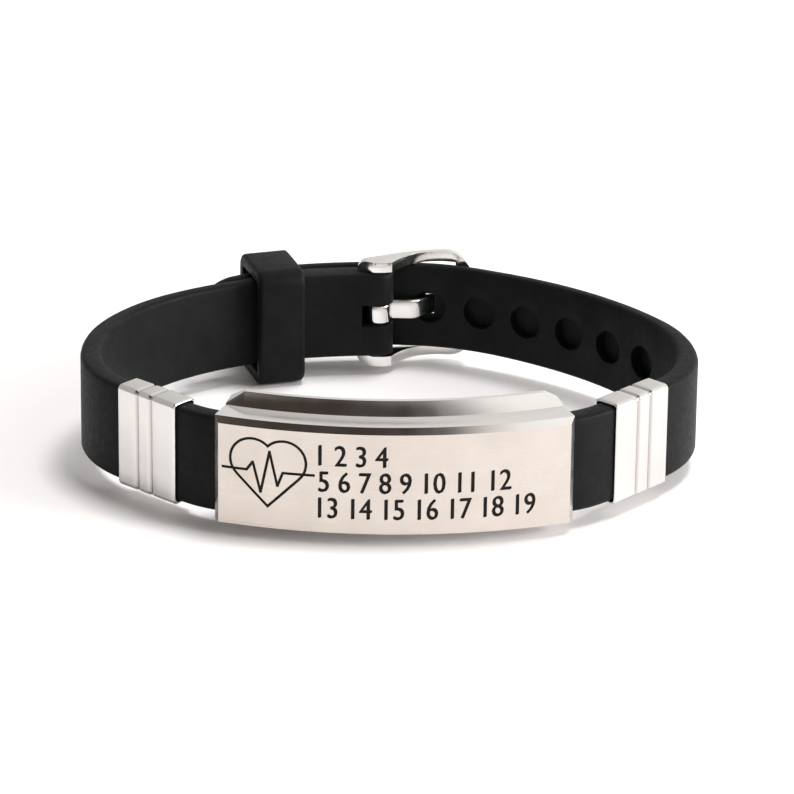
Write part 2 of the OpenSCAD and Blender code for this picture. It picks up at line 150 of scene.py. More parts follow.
# Distance from the plate and thickness there
HOLE_SIDE_THICKNESS = [(0, STRAP_THICKNESS), (14, STRAP_THICKNESS), (22, 2.5), (28, 2.1), (34, 1.8),
                       (42, 1.65), (60, TAIL_THICKNESS)]
BUCKLE_SIDE_THICKNESS = [(0, STRAP_THICKNESS), (14, STRAP_THICKNESS), (22, 2.5), (30, 2.3), (40, 1.95),
                         (46, LAP_THICKNESS), (52, LAP_THICKNESS), (53.5, 1.8), (55, 2.25), (57, 2.95),
                         (58.5, 3.3), (60, 3.4)]
# Distance from the plate and width there
STRAP_WIDTHS = [(0, STRAP_WIDTH), (30, STRAP_WIDTH), (58, TAIL_WIDTH)]
# Distance between two points of a free run
FINE_STEP = 0.5
# The tail lies on the other strap from one distance to the other, and its tip is a half circle
LAP_GAP = 0.15
LAP_FROM = 66.9
LAP_TO = 53
TIP_R = TAIL_WIDTH / 2
TIP_SHARE = 0.94
TIP_ANGLES = (6, 12, 18, 24, 30, 36, 42, 48, 54, 60, 66, 71, 76, 80, 83, 86, 88)
# The other strap stops short of its route's end and goes round the bar
BAR_SETBACK = 1.9
LOOP_ANGLES = (0, 10, 20, 30, 40, 50, 58, 66, 72, 78, 83, 87)
BUCKLE_HEADING = 178.7
# Where the tail comes into the buckle, from its bar, and how it bends through
TAIL_IN = (11.5, -0.2)
TAIL_IN_HEADING = 155.5
TAIL_BEND = 5
# Steps on the strap with the holes: to the buckle, through it, and at which of those the tongue passes
BRIDGE_STEPS = 32
TAIL_STEPS = 40
TONGUE_STEP = 16
LAP_POINTS = 44
# A distance past the end of every strap
NEVER = 1000


def lookup(s, table):
    """The value at a distance, straight between the rows of a table."""
    return float(np.interp(s, [row[0] for row in table], [row[1] for row in table]))


def after_run(p, length, turn):
    """Where [x, y, heading] is after one run of strap."""
    x, y, h = p
    if abs(turn) < 0.01:
        return (x + length * math.cos(math.radians(h)), y + length * math.sin(math.radians(h)), h)
    r = length / math.radians(turn)
    a, b = math.radians(h), math.radians(h + turn)
    return (x + r * (math.sin(b) - math.sin(a)), y - r * (math.cos(b) - math.cos(a)), h + turn)


def on_runs(runs, s, p):
    """The place at distance s on a list of runs, straight on past the last."""
    for length, turn in runs:
        if s <= length:
            return after_run(p, s, turn * s / length)
        p = after_run(p, length, turn)
        s -= length
    return after_run(p, s, 0)


def total(runs):
    return sum(length for length, turn in runs)


def outward(p, heading, length):
    """The point at a length away from the wrist."""
    a = math.radians(heading)
    return np.array([p[0] + length * math.sin(a), p[1] - length * math.cos(a)])


def ahead(p, heading, length):
    """The point at a length along the strap."""
    a = math.radians(heading)
    return np.array([p[0] + length * math.cos(a), p[1] + length * math.sin(a)])


def bend(a, heading_a, b, heading_b, handle, t):
    """A smooth curve between two places that keeps both headings."""
    a, b = np.array(a[:2]), np.array(b[:2])
    c, d = ahead(a, heading_a, handle), ahead(b, heading_b, -handle)
    return (1 - t) ** 3 * a + 3 * (1 - t) ** 2 * t * c + 3 * (1 - t) * t * t * d + t ** 3 * b


def in_pocket(angle):
    """A place on the strap's inner face inside the plate."""
    a = math.radians(angle)
    return (STRAP_START_R * math.sin(a), PLATE_CENTRE_Y - STRAP_START_R * math.cos(a), angle)


PLATE_END = in_pocket(PLATE_HALF_ANGLE)
BAR_S = total(BUCKLE_SIDE_RUNS) - BAR_SETBACK
BAR_STATE = on_runs(BUCKLE_SIDE_RUNS, BAR_S, PLATE_END)
END_THICKNESS = lookup(BAR_S, BUCKLE_SIDE_THICKNESS)
BAR_AT = outward(BAR_STATE, BAR_STATE[2], END_THICKNESS / 2) * (-1, 1)
BAR_TURN = BUCKLE_HEADING - BAR_STATE[2]


def from_bar(p):
    """A point of the closure, given from the middle of the buckle's bar."""
    a = math.radians(BAR_TURN)
    return np.array([BAR_AT[0] + p[0] * math.cos(a) - p[1] * math.sin(a),
                     BAR_AT[1] + p[0] * math.sin(a) + p[1] * math.cos(a)])


def lap_point(s):
    """A point of the tail's inner face, over the other strap at its distance s."""
    p = on_runs(BUCKLE_SIDE_RUNS, s, PLATE_END)
    return outward(p, p[2], lookup(s, BUCKLE_SIDE_THICKNESS) + LAP_GAP) * (-1, 1)


def from_plate(path):
    """Distance along a path, counted from the point nearest to the plate's end."""
    path = np.array(path)
    d = np.concatenate([[0], np.cumsum(np.linalg.norm(np.diff(path, axis=0), axis=1))])
    return d - d[np.argmin(np.linalg.norm(path - np.array(PLATE_END[:2]), axis=1))]


def along_runs(runs, length):
    """Points on the free part of a strap, from the plate's end to a length."""
    return [on_runs(runs, s, PLATE_END)[:2] for s in np.arange(0, length, FINE_STEP)]


def pocket_points():
    return [in_pocket(a)[:2] for a in np.linspace(STRAP_START_ANGLE, PLATE_HALF_ANGLE, 7)[:-1]]


def hole_side_route():
    """Inner face of the strap with the holes, and where its tongue hole and its tip are."""
    free_length = total(HOLE_SIDE_RUNS)
    start = pocket_points() + along_runs(HOLE_SIDE_RUNS, free_length)
    end = on_runs(HOLE_SIDE_RUNS, free_length, PLATE_END)
    into = from_bar(TAIL_IN)
    into_heading = TAIL_IN_HEADING + BAR_TURN
    handle = np.linalg.norm(into - np.array(end[:2])) / 3
    bridge = [bend(end, end[2], into, into_heading, handle, t)
              for t in np.arange(BRIDGE_STEPS) / BRIDGE_STEPS]
    lap_start = lap_point(LAP_FROM)
    step = lap_point(LAP_FROM - FINE_STEP) - lap_start
    lap_heading = math.degrees(math.atan2(step[1], step[0])) + 360
    closure = [bend(into, into_heading, lap_start, lap_heading, TAIL_BEND, t)
               for t in np.arange(TAIL_STEPS) / TAIL_STEPS]
    lap = [lap_point(s) for s in np.linspace(LAP_FROM, LAP_TO, LAP_POINTS)]
    tip = [lap_point(LAP_TO - TIP_SHARE * TIP_R * math.sin(math.radians(a))) for a in TIP_ANGLES]
    path = start + bridge + closure + lap + tip
    s = from_plate(path)
    return path, s, s[len(start) + len(bridge) + TONGUE_STEP], s[len(path) - len(tip) - 1]


def buckle_side_route():
    """Inner face of the strap with the buckle, drawn on the right, and where its loop starts."""
    loop = [ahead(BAR_STATE, BAR_STATE[2], END_THICKNESS / 2 * math.sin(math.radians(a)))
            for a in LOOP_ANGLES]
    path = pocket_points() + along_runs(BUCKLE_SIDE_RUNS, BAR_S) + loop
    s = from_plate(path)
    return path, s, s[len(path) - len(loop)]


def ways_out(path):
    """The direction away from the wrist at each point of a path."""
    step = np.gradient(np.array(path), axis=0)
    angles = np.arctan2(step[:, 1], step[:, 0])
    return np.stack([np.sin(angles), -np.cos(angles)], axis=1)


def plate_pin_place(side):
    a = math.radians(PLATE_PIN_ANGLE)
    return side * PLATE_PIN_R * math.sin(a), PLATE_CENTRE_Y - PLATE_PIN_R * math.cos(a)


# Small helpers
def new_object(name, data):
    obj = bpy.data.objects.new(name, data)
    bpy.context.scene.collection.objects.link(obj)
    return obj


def mesh_object(name, points, faces=(), edges=()):
    mesh = bpy.data.meshes.new(name)
    mesh.from_pydata([tuple(p) for p in points], list(edges), [tuple(f) for f in faces])
    mesh.update()
    return new_object(name, mesh)


def skin(name, rings, cyclic=False):
    """Faces over rings of as many points each, joined end to start or else capped at both ends."""
    n, m = len(rings[0]), len(rings)
    faces = [(i * n + j, i * n + (j + 1) % n, (i + 1) % m * n + (j + 1) % n, (i + 1) % m * n + j)
             for i in range(m if cyclic else m - 1) for j in range(n)]
    if not cyclic:
        faces += [tuple(reversed(range(n))), tuple(range((m - 1) * n, m * n))]
    return mesh_object(name, [p for ring in rings for p in ring], faces)


def evaluated_mesh(obj):
    graph = bpy.context.evaluated_depsgraph_get()
    return bpy.data.meshes.new_from_object(obj.evaluated_get(graph))


def baked(obj):
    """Turns an object with its modifiers into a plain mesh."""
    mesh = evaluated_mesh(obj)
    obj.modifiers.clear()
    old = obj.data
    obj.data = mesh
    if old.users == 0:
        bpy.data.meshes.remove(old)
    return obj


@contextmanager
def open_mesh(obj):
    """Opens an object's mesh for editing, and puts it back."""
    work = bmesh.new()
    work.from_mesh(obj.data)
    yield work
    work.to_mesh(obj.data)
    work.free()


def close_and_face_out(obj, merge=1e-6):
    """Merges doubled points and turns every face outwards."""
    with open_mesh(obj) as work:
        bmesh.ops.remove_doubles(work, verts=work.verts, dist=merge)
        bmesh.ops.recalc_face_normals(work, faces=work.faces)
    return obj


def smooth_below(obj, degrees):
    """Shades smooth, with sharp edges where faces meet at more than this."""
    with open_mesh(obj) as work:
        for face in work.faces:
            face.smooth = True
        for edge in work.edges:
            edge.smooth = len(edge.link_faces) == 2 and edge.calc_face_angle(0) < math.radians(degrees)
    return obj


def mark_outside_edges(obj, degrees):
    """Gives a bevel weight to the sharp edges that stand out, so that hollows stay crisp."""
    with open_mesh(obj) as work:
        weight = work.edges.layers.float.new("bevel_weight_edge")
        for edge in work.edges:
            edge[weight] = float(edge.is_convex and edge.calc_face_angle(0) > math.radians(degrees))
    return obj


def bevel(obj, width, segments, degrees=None):
    """Rounds the edges that are sharper than an angle, or else the marked ones."""
    mod = obj.modifiers.new("bevel", "BEVEL")
    mod.width = width
    mod.segments = segments
    mod.limit_method = "ANGLE" if degrees else "WEIGHT"
    if degrees:
        mod.angle_limit = math.radians(degrees)
    return baked(obj)


def in_triangles(obj):
    with open_mesh(obj) as work:
        bmesh.ops.triangulate(work, faces=work.faces)
    return obj


def cut_away(obj, cutter):
    """Takes a closed cutter away from a closed piece, and removes the cutter."""
    mod = obj.modifiers.new("cut", "BOOLEAN")
    mod.operation = "DIFFERENCE"
    mod.solver = "MANIFOLD"
    mod.object = cutter
    baked(obj)
    drop(cutter)
    return obj


def drop(obj):
    """Removes an object and what only it uses."""
    data = obj.data
    bpy.data.objects.remove(obj)
    if data.users == 0:
        (bpy.data.meshes if isinstance(data, bpy.types.Mesh) else bpy.data.curves).remove(data)


def stand_up(obj):
    """Takes a mesh in the ring's millimetres to the row's frame."""
    obj.data.transform(STAND)
    obj.data.update()
    return obj


def paint(obj, *materials):
    """Gives an object its materials, the first one on every face."""
    obj.data.materials.clear()
    for material in materials:
        obj.data.materials.append(material)
    obj.data.polygons.foreach_set("material_index", [0] * len(obj.data.polygons))
    return obj


def hand_over(obj, node):
    """Puts a finished piece on the root body and hides the CAD solid it stands for."""
    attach(obj, "root")
    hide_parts(node)


# Materials
def node_material(name):
    material = bpy.data.materials.new(name)
    material.use_nodes = True
    tree = material.node_tree
    shader = tree.nodes["Principled BSDF"]
    coords = tree.nodes.new("ShaderNodeTexCoord")
    return material, tree, shader, coords.outputs["Object"]


def stretched(tree, coords, scale):
    """Object coordinates scaled by one factor per axis."""
    mapping = tree.nodes.new("ShaderNodeMapping")
    mapping.inputs["Scale"].default_value = scale
    tree.links.new(coords, mapping.inputs["Vector"])
    return mapping.outputs["Vector"]


def noise(tree, vector, scale, detail=4.0, roughness=0.5):
    node = tree.nodes.new("ShaderNodeTexNoise")
    node.inputs["Scale"].default_value = scale
    node.inputs["Detail"].default_value = detail
    node.inputs["Roughness"].default_value = roughness
    tree.links.new(vector, node.inputs["Vector"])
    return node.outputs["Fac"]


def between(tree, value, low, high, from_low=0.0, from_high=1.0):
    """Takes a 0 to 1 pattern to a range."""
    node = tree.nodes.new("ShaderNodeMapRange")
    node.inputs["From Min"].default_value = from_low
    node.inputs["From Max"].default_value = from_high
    node.inputs["To Min"].default_value = low
    node.inputs["To Max"].default_value = high
    tree.links.new(value, node.inputs["Value"])
    return node.outputs["Result"]


def blend_colours(tree, factor, low, high):
    """Mixes two colours, each given as three numbers or as a socket."""
    node = tree.nodes.new("ShaderNodeMix")
    node.data_type = "RGBA"
    for socket, colour in ((node.inputs[6], low), (node.inputs[7], high)):
        if isinstance(colour, tuple):
            socket.default_value = (*colour, 1)
        else:
            tree.links.new(colour, socket)
    tree.links.new(factor, node.inputs["Factor"])
    return node.outputs[2]


def bump(tree, shader, height, distance, strength=1.0, under=None):
    node = tree.nodes.new("ShaderNodeBump")
    node.inputs["Strength"].default_value = strength
    node.inputs["Distance"].default_value = distance
    tree.links.new(height, node.inputs["Height"])
    if under:
        tree.links.new(under, node.inputs["Normal"])
    tree.links.new(node.outputs["Normal"], shader.inputs["Normal"])
    return node.outputs["Normal"]


def satin_steel():
    """Steel with a fine grain drawn along the plate and a few faint rubs."""
    material, tree, shader, coords = node_material("satin_steel")
    shader.inputs["Metallic"].default_value = 1.0
    grain = noise(tree, stretched(tree, coords, (60, 60, 2600)), 1.0, detail=6, roughness=0.65)
    rubs = between(tree, noise(tree, coords, 180, detail=3), 0, 1, 0.3, 0.7)
    colour = blend_colours(tree, rubs, (0.62, 0.56, 0.512), (0.675, 0.62, 0.573))
    tree.links.new(colour, shader.inputs["Base Color"])
    tree.links.new(between(tree, grain, 0.24, 0.38, 0.3, 0.7), shader.inputs["Roughness"])
    bump(tree, shader, grain, 0.000004, 0.5)
    return material


def polished_steel(name, low, high, in_grooves=None):
    """Bright steel between two tones, with faint hairlines and soft patches, and painted shade in any
    grooves.
    """
    material, tree, shader, coords = node_material(name)
    shader.inputs["Metallic"].default_value = 1.0
    hairline = noise(tree, stretched(tree, coords, (400, 400, 3000)), 1.0, detail=5, roughness=0.6)
    wave = noise(tree, stretched(tree, coords, (60, 60, 900)), 1.0, detail=2, roughness=0.5)
    cloud = noise(tree, coords, 260, detail=2)
    colour = blend_colours(tree, cloud, low, high)
    # Painted shade: a darker colour mixed in by how deep each point lies in a groove
    if in_grooves:
        groove = tree.nodes.new("ShaderNodeAttribute")
        groove.attribute_name = "groove"
        colour = blend_colours(tree, groove.outputs["Fac"], colour, in_grooves)
    tree.links.new(colour, shader.inputs["Base Color"])
    tree.links.new(between(tree, cloud, 0.1, 0.2, 0.3, 0.7), shader.inputs["Roughness"])
    bump(tree, shader, hairline, 0.000002, 0.4, bump(tree, shader, wave, 0.00003, 0.6))
    return material


def black_rubber():
    """Silicone rubber: nearly black, matte, with a skin of very fine grain."""
    material, tree, shader, coords = node_material("black_rubber")
    pores = noise(tree, coords, 9000, detail=3, roughness=0.6)
    cloud = between(tree, noise(tree, coords, 300, detail=3), 0, 1, 0.35, 0.65)
    dust = noise(tree, coords, 1500, detail=6, roughness=0.7)
    colour = blend_colours(tree, cloud, (0.0035, 0.0035, 0.004), (0.0065, 0.0065, 0.007))
    tree.links.new(colour, shader.inputs["Base Color"])
    tree.links.new(between(tree, dust, 0.5, 0.64, 0.35, 0.65), shader.inputs["Roughness"])
    shader.inputs["Specular IOR Level"].default_value = 0.25
    shader.inputs["IOR"].default_value = 1.33
    shader.inputs["Sheen Weight"].default_value = 0.02
    shader.inputs["Sheen Roughness"].default_value = 0.4
    bump(tree, shader, pores, 0.00001, 0.35)
    return material


def engraving_black():
    """Black paint that fills the engraving, uneven like a dried fill."""
    material, tree, shader, coords = node_material("engraving_black")
    grain = noise(tree, coords, 7000, detail=4)
    colour = blend_colours(tree, grain, (0.004, 0.003, 0.003), (0.014, 0.011, 0.01))
    tree.links.new(colour, shader.inputs["Base Color"])
    tree.links.new(between(tree, grain, 0.55, 0.8), shader.inputs["Roughness"])
    shader.inputs["Specular IOR Level"].default_value = 0.3
    bump(tree, shader, grain, 0.00001, 0.5)
    return material


def floor_white():
    """A pale, dull floor with hardly visible flecks."""
    material, tree, shader, coords = node_material("floor_white")
    fleck = noise(tree, coords, 60, detail=4)
    colour = blend_colours(tree, fleck, (0.915, 0.893, 0.89), (0.935, 0.913, 0.91))
    tree.links.new(colour, shader.inputs["Base Color"])
    shader.inputs["Roughness"].default_value = 0.75
    shader.inputs["Specular IOR Level"].default_value = 0.2
    return material


SATIN = satin_steel()
POLISHED = polished_steel("polished_steel", (0.8, 0.785, 0.765), (0.86, 0.85, 0.835))
# The slides' steel, with painted shade in its grooves
BUFFED = polished_steel("buffed_steel", (0.68, 0.665, 0.65), (0.75, 0.735, 0.72), (0.5, 0.46, 0.44))
RUBBER = black_rubber()
FILL = engraving_black()


# The straps' sweep in geometry nodes
class NodeMath:
    """Short calls for the sums inside a geometry node tree."""

    def __init__(self, tree):
        self.tree = tree

    def node(self, kind, **settings):
        made = self.tree.nodes.new(kind)
        for key, value in settings.items():
            setattr(made, key, value)
        return made

    def put(self, socket, value):
        if isinstance(value, bpy.types.NodeSocket):
            self.tree.links.new(value, socket)
        else:
            socket.default_value = value

    def sum(self, operation, *values):
        made = self.node("ShaderNodeMath", operation=operation)
        for socket, value in zip(made.inputs, values):
            self.put(socket, value)
        return made.outputs[0]

    def vector(self, operation, *values):
        made = self.node("ShaderNodeVectorMath", operation=operation)
        if operation == "SCALE":
            self.put(made.inputs[0], values[0])
            self.put(made.inputs["Scale"], values[1])
        else:
            for socket, value in zip(made.inputs, values):
                self.put(socket, value)
        return made.outputs[0]

    def named(self, name, kind="FLOAT"):
        made = self.node("GeometryNodeInputNamedAttribute", data_type=kind)
        made.inputs["Name"].default_value = name
        return made.outputs["Attribute"]


def sweep_tree():
    """Carries a rounded section along a rail whose points say how thick and wide it is."""
    tree = bpy.data.node_groups.new("rounded_sweep", "GeometryNodeTree")
    face = tree.interface
    face.new_socket("Rail", in_out="INPUT", socket_type="NodeSocketGeometry")
    sides = face.new_socket("Section Points", in_out="INPUT", socket_type="NodeSocketInt")
    hole_r = face.new_socket("Hole Radius", in_out="INPUT", socket_type="NodeSocketFloat")
    holes = face.new_socket("Hole Points", in_out="INPUT", socket_type="NodeSocketObject")
    finish = face.new_socket("Finish", in_out="INPUT", socket_type="NodeSocketMaterial")
    face.new_socket("Piece", in_out="OUTPUT", socket_type="NodeSocketGeometry")
    m = NodeMath(tree)
    given = m.node("NodeGroupInput")
    result = m.node("NodeGroupOutput")

    rail = m.node("GeometryNodeMeshToCurve")
    tree.links.new(given.outputs["Rail"], rail.inputs["Mesh"])
    at = m.node("GeometryNodeInputPosition").outputs[0]
    rail_kept = m.node("GeometryNodeStoreNamedAttribute", data_type="FLOAT_VECTOR", domain="POINT")
    rail_kept.inputs["Name"].default_value = "rail_at"
    tree.links.new(rail.outputs["Curve"], rail_kept.inputs["Geometry"])
    tree.links.new(at, rail_kept.inputs["Value"])

    section = m.node("GeometryNodeCurvePrimitiveCircle")
    tree.links.new(given.outputs["Section Points"], section.inputs["Resolution"])
    turned = m.node("GeometryNodeTransform")
    tree.links.new(section.outputs["Curve"], turned.inputs["Geometry"])
    half_step = m.sum("DIVIDE", math.pi, given.outputs["Section Points"])
    spin = m.node("ShaderNodeCombineXYZ")
    tree.links.new(half_step, spin.inputs["Z"])
    tree.links.new(spin.outputs[0], turned.inputs["Rotation"])
    section_kept = m.node("GeometryNodeStoreNamedAttribute", data_type="FLOAT_VECTOR", domain="POINT")
    section_kept.inputs["Name"].default_value = "section_at"
    tree.links.new(turned.outputs["Geometry"], section_kept.inputs["Geometry"])
    tree.links.new(at, section_kept.inputs["Value"])

    swept = m.node("GeometryNodeCurveToMesh")
    swept.inputs["Fill Caps"].default_value = True
    tree.links.new(rail_kept.outputs["Geometry"], swept.inputs["Curve"])
    tree.links.new(section_kept.outputs["Geometry"], swept.inputs["Profile Curve"])

    split = m.node("ShaderNodeSeparateXYZ")
    tree.links.new(m.named("section_at", "FLOAT_VECTOR"), split.inputs[0])
    out_unit, across_unit = split.outputs["X"], split.outputs["Y"]
    thick, half, edge = m.named("thick"), m.named("half_width"), m.named("edge_r")
    flat_out = m.sum("SUBTRACT", m.sum("DIVIDE", thick, 2.0), edge)
    flat_across = m.sum("SUBTRACT", half, edge)
    out = m.sum("ADD", m.sum("ADD", m.named("inner"), m.sum("DIVIDE", thick, 2.0)),
                m.sum("ADD", m.sum("MULTIPLY", m.sum("SIGN", out_unit), flat_out),
                      m.sum("MULTIPLY", edge, out_unit)))
    across = m.sum("ADD", m.sum("MULTIPLY", m.sum("SIGN", across_unit), flat_across),
                   m.sum("MULTIPLY", edge, across_unit))
    offset = m.vector("ADD", m.vector("SCALE", m.named("out_way", "FLOAT_VECTOR"), out),
                      m.vector("SCALE", (0.0, 0.0, 1.0), across))
    moved = m.node("GeometryNodeSetPosition")
    tree.links.new(swept.outputs["Mesh"], moved.inputs["Geometry"])
    tree.links.new(m.vector("ADD", m.named("rail_at", "FLOAT_VECTOR"), offset), moved.inputs["Position"])

    spots = m.node("GeometryNodeObjectInfo")
    tree.links.new(given.outputs["Hole Points"], spots.inputs["Object"])
    punch = m.node("GeometryNodeMeshCylinder", fill_type="NGON")
    punch.inputs["Vertices"].default_value = 64
    punch.inputs["Depth"].default_value = HOLE_PUNCH
    tree.links.new(given.outputs["Hole Radius"], punch.inputs["Radius"])
    aim = m.node("FunctionNodeAlignRotationToVector", axis="Z")
    tree.links.new(m.named("out_way", "FLOAT_VECTOR"), aim.inputs["Vector"])
    punches = m.node("GeometryNodeInstanceOnPoints")
    tree.links.new(spots.outputs["Geometry"], punches.inputs["Points"])
    tree.links.new(punch.outputs["Mesh"], punches.inputs["Instance"])
    tree.links.new(aim.outputs["Rotation"], punches.inputs["Rotation"])
    punches_real = m.node("GeometryNodeRealizeInstances")
    tree.links.new(punches.outputs["Instances"], punches_real.inputs["Geometry"])
    punched = m.node("GeometryNodeMeshBoolean", operation="DIFFERENCE", solver="EXACT")
    tree.links.new(moved.outputs["Geometry"], punched.inputs["Mesh 1"])
    tree.links.new(punches_real.outputs["Geometry"], punched.inputs["Mesh 2"])

    real = m.node("GeometryNodeRealizeInstances")
    tree.links.new(punched.outputs["Mesh"], real.inputs["Geometry"])
    coated = m.node("GeometryNodeSetMaterial")
    tree.links.new(real.outputs["Geometry"], coated.inputs["Geometry"])
    tree.links.new(given.outputs["Finish"], coated.inputs["Material"])
    tree.links.new(coated.outputs["Geometry"], result.inputs["Piece"])
    keys = {"sides": sides.identifier, "hole_r": hole_r.identifier, "holes": holes.identifier,
            "finish": finish.identifier}
    return tree, keys


SWEEP, SWEEP_KEYS = sweep_tree()
SWEEP_ATTRIBUTES = ("out_way", "thick", "half_width", "edge_r", "inner", "rail_at", "section_at")
SECTION_POINTS = 24


def attribute(mesh, name, values, vector=False):
    made = mesh.attributes.new(name, "FLOAT_VECTOR" if vector else "FLOAT", "POINT")
    flat = np.array(values, dtype=np.float32).reshape(-1)
    made.data.foreach_set("vector" if vector else "value", flat)


def sweep(name, rail, out_ways, thick, half, edge, inner, finish, holes=(), mirrored=False):
    """A swept piece: rail points in the ring's XY plane, with one value each or for all of the rest."""
    count = len(rail)
    obj = mesh_object(name, [(x, y, 0) for x, y in rail], edges=[(i, i + 1) for i in range(count - 1)])
    attribute(obj.data, "out_way", [(x, y, 0) for x, y in out_ways], vector=True)
    for key, values in (("thick", thick), ("half_width", half), ("edge_r", edge), ("inner", inner)):
        attribute(obj.data, key, np.broadcast_to(values, count))
    spots = mesh_object(name + "_hole_points", [(*p, 0) for p, way in holes])
    attribute(spots.data, "out_way", [(*way, 0) for p, way in holes], vector=True)
    mod = obj.modifiers.new("sweep", "NODES")
    mod.node_group = SWEEP
    mod[SWEEP_KEYS["sides"]] = SECTION_POINTS
    mod[SWEEP_KEYS["hole_r"]] = HOLE_D / 2
    mod[SWEEP_KEYS["holes"]] = spots
    mod[SWEEP_KEYS["finish"]] = finish
    baked(obj)
    drop(spots)
    paint(obj, finish)
    for key in SWEEP_ATTRIBUTES:
        if key in obj.data.attributes:
            obj.data.attributes.remove(obj.data.attributes[key])
    if mirrored:
        obj.data.transform(Matrix.Scale(-1, 4, (1, 0, 0)))
    return close_and_face_out(obj, 1e-4)


def strap(name, path, s, thickness, tip_from=NEVER, loop_from=NEVER, holes=(), mirrored=False):
    """One rubber strap. Past tip_from its outline is round, past loop_from its thickness is."""
    s = np.array(s)
    full = np.array([lookup(v, thickness) for v in s])
    looped = np.clip(s - loop_from, 0, None)
    thick = np.where(looped > 0, 2 * np.sqrt(np.clip(full ** 2 / 4 - looped ** 2, 1e-3, None)), full)
    edge = np.minimum(STRAP_EDGE_R, thick / 2 - 0.1 * thick / full)
    past = np.clip(s - tip_from, 0, 0.999 * TIP_R)
    half = np.array([lookup(v, STRAP_WIDTHS) / 2 for v in s])
    half = np.where(past > 0, np.minimum(half, np.sqrt(TIP_R ** 2 - past ** 2)), half)
    half = np.maximum(half, edge + 0.05)
    return sweep(name, path, ways_out(path), thick, half, edge, (full - thick) / 2, RUBBER, holes,
                 mirrored=mirrored)


# Half the length of a cutter that goes right through
THROUGH = 12
ROD_SIDES = 48


def rod(x, y, radius, half_length=THROUGH):
    """A plain round cutter across the strap, in the ring's frame."""
    turns = np.linspace(0, math.tau, ROD_SIDES + 1)[:-1]
    return skin("cutter", [[(x + radius * math.cos(a), y + radius * math.sin(a), z) for a in turns]
                           for z in (-half_length, half_length)])


def block(low, high, turn, at):
    """A plain box cutter in the ring's frame, turned about Z round a place."""
    (x0, y0, z0), (x1, y1, z1) = low, high
    obj = skin("cutter", [[(x0, y0, z), (x1, y0, z), (x1, y1, z), (x0, y1, z)] for z in (z0, z1)])
    obj.data.transform(Matrix.Translation((*at, 0)) @ Matrix.Rotation(math.radians(turn), 4, "Z"))
    return close_and_face_out(obj)


def tongue_hole():
    """The room that the tongue's slanting run needs in the strap with the holes."""
    a, b = (np.array(p) for p in TONGUE_LINE[1:3])
    half = TONGUE_THICKNESS / 2 + STRAP_GAP
    across = TONGUE_WIDTH / 2 + STRAP_GAP
    length = np.linalg.norm(b - a) + half
    slant = math.degrees(math.atan2(b[1] - a[1], b[0] - a[0]))
    return block((0, -half, -across), (length, half, across), slant + BAR_TURN, from_bar(a))


def hole_side_strap():
    path, s, tongue_s, tip_s = hole_side_route()
    ways = ways_out(path)
    spots = []
    for k in range(-HOLES_AFTER, HOLES_BEFORE + 1):
        i = bisect.bisect_left(list(s), tongue_s - k * HOLE_PITCH)
        # A thin skin closes every hole on the outside
        deep = lookup(s[i], HOLE_SIDE_THICKNESS) - HOLE_SKIN
        spots.append((np.array(path[i]) + ways[i] * (deep - HOLE_PUNCH / 2), ways[i]))
    obj = strap("hole_side_strap", path, s, HOLE_SIDE_THICKNESS, tip_from=tip_s, holes=spots)
    cut_away(obj, rod(*plate_pin_place(1), PLATE_PIN_D / 2 + 2 * PIN_GAP))
    cut_away(obj, tongue_hole())
    bevel(close_and_face_out(obj), HOLE_EDGE_R, 3, 55)
    smooth_below(paint(obj, RUBBER), 40)
    hand_over(stand_up(obj), "strap_hole_side")


def buckle_side_strap():
    path, s, loop_s = buckle_side_route()
    obj = strap("buckle_side_strap", path, s, BUCKLE_SIDE_THICKNESS, loop_from=loop_s, mirrored=True)
    cut_away(obj, rod(*plate_pin_place(-1), PLATE_PIN_D / 2 + 2 * PIN_GAP))
    cut_away(obj, rod(*BAR_AT, BAR_D / 2 + 2 * PIN_GAP))
    # The tongue's ring sits in a slot in the strap's end, open at the end and on both faces
    end = END_THICKNESS / 2 + STRAP_GAP
    low = (end - TONGUE_SLOT_LENGTH, -THROUGH, -TONGUE_SLOT_HALF)
    cut_away(obj, block(low, (end + 0.5, THROUGH, TONGUE_SLOT_HALF), BAR_TURN, BAR_AT))
    bevel(close_and_face_out(obj), SLOT_EDGE_R, 2, 55)
    smooth_below(paint(obj, RUBBER), 40)
    hand_over(stand_up(obj), "strap_buckle_side")


# Slides and keeper
def arcs(corners, steps):
    """Quarters of circles one after the other: each corner's centre, radius and first angle."""
    return [(x + radius * math.cos(math.radians(start + 90 * k / steps)),
             y + radius * math.sin(math.radians(start + 90 * k / steps)))
            for x, y, radius, start in corners for k in range(steps + 1)]


def rounded_outline(width, height, radius):
    """Points round a rectangle with round corners, as many for every size."""
    x, y = width / 2 - radius, height / 2 - radius
    return arcs([(x, y, radius, 0), (-x, y, radius, 90), (-x, -y, radius, 180), (x, -y, radius, 270)], 6)


def band(name, room, corner, profile, finish, at, turn, mirrored, grooves=()):
    """A closed band round the strap. Its profile lists how far along and how far out from the room."""
    rings = [[(x, y, z) for y, z in rounded_outline(room[0] + 2 * o, room[1] + 2 * o, corner + o)]
             for x, o in profile]
    obj = skin(name, rings, cyclic=True)
    # How much painted groove shade each point gets, for the material to mix in
    if grooves:
        attribute(obj.data, "groove", [g for g, ring in zip(grooves, rings) for _ in ring])
    obj.data.transform(Matrix.Translation(at) @ Matrix.Rotation(math.radians(turn), 4, "Z"))
    if mirrored:
        obj.data.transform(Matrix.Scale(-1, 4, (1, 0, 0)))
    paint(obj, finish)
    return smooth_below(stand_up(close_and_face_out(obj, 1e-5)), 50)


# Roundness of the slides' ends, half the width of a soft groove, and the cut inside each opening
SLIDE_END_R = 0.22
GROOVE_HALF = 0.4
SLIDE_CHAMFER = 0.05


